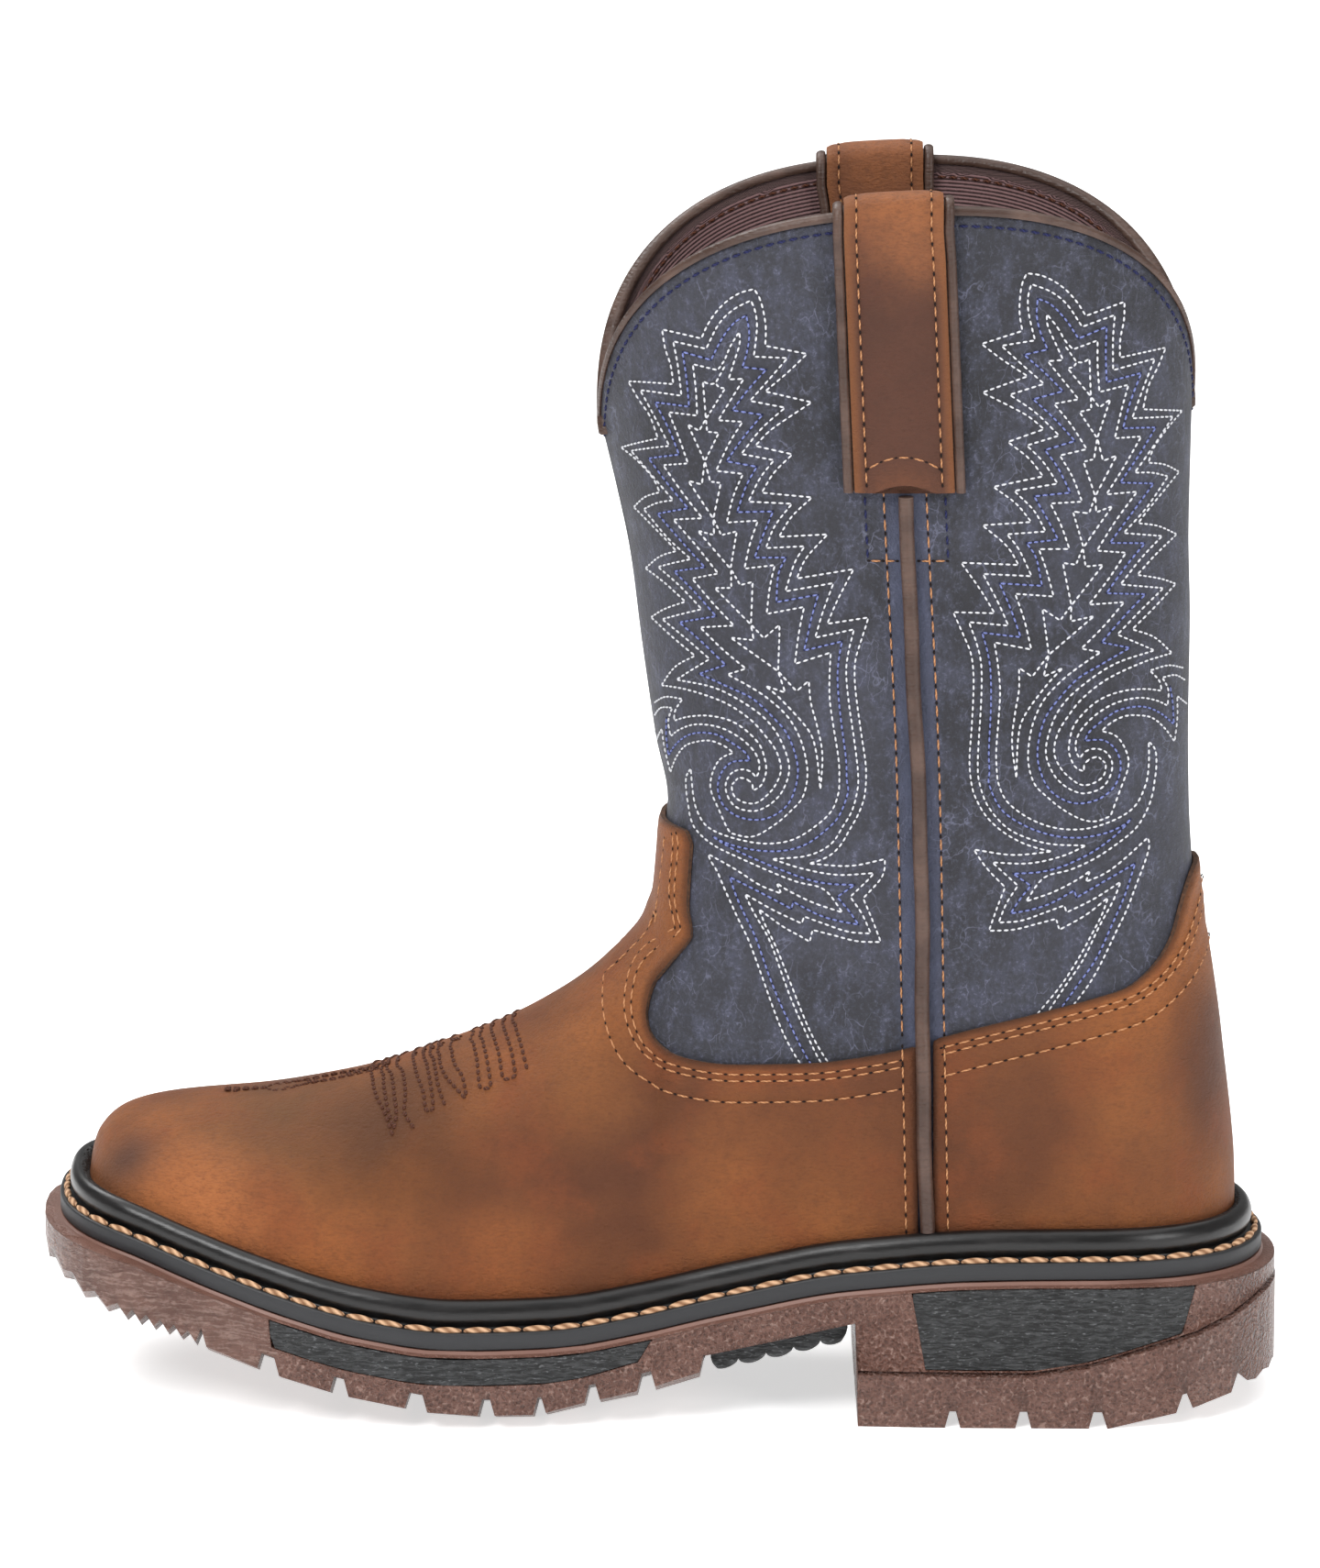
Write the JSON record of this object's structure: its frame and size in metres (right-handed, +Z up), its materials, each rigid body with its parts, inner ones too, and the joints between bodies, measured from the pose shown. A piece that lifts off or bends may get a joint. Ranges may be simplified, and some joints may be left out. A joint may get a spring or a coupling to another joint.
{
  "type": "western boot",
  "caption": "Left western boot: tan vamp and counter, stitched blue shaft with pull straps, black welt and lugged brown rubber sole.",
  "frame": {"origin": "middle of the boot's bounding box, on the floor that its sole stands on", "axes": "+Z up the shaft, -X towards the toe, -Y towards the outer (little-toe) side of this left boot"},
  "size_m": [0.3046, 0.1108, 0.3047],
  "materials": {
    "brown_rubber": "matte",
    "black_rubber": "matte",
    "black_welt": "satin",
    "tan_leather": "satin",
    "blue_leather": "satin",
    "brown_piping": "satin",
    "insole_board": "matte"
  },
  "bodies": {
    "root": {"outsole": "brown_rubber", "waist_grip": "black_rubber", "forefoot_insert_outer": "black_rubber", "forefoot_insert_inner": "black_rubber", "heel_insert_outer": "black_rubber", "heel_insert_inner": "black_rubber", "welt": "black_welt", "insole": "insole_board", "upper": "blue_leather", "vamp": "tan_leather", "counter": "tan_leather", "seam_piping_outer": "brown_piping", "seam_piping_inner": "brown_piping", "collar_binding": "brown_piping", "pull_strap_outer": "tan_leather", "pull_strap_inner": "tan_leather", "strap_edging_outer": "brown_piping", "strap_edging_inner": "brown_piping"}
  },
  "joints": []
}
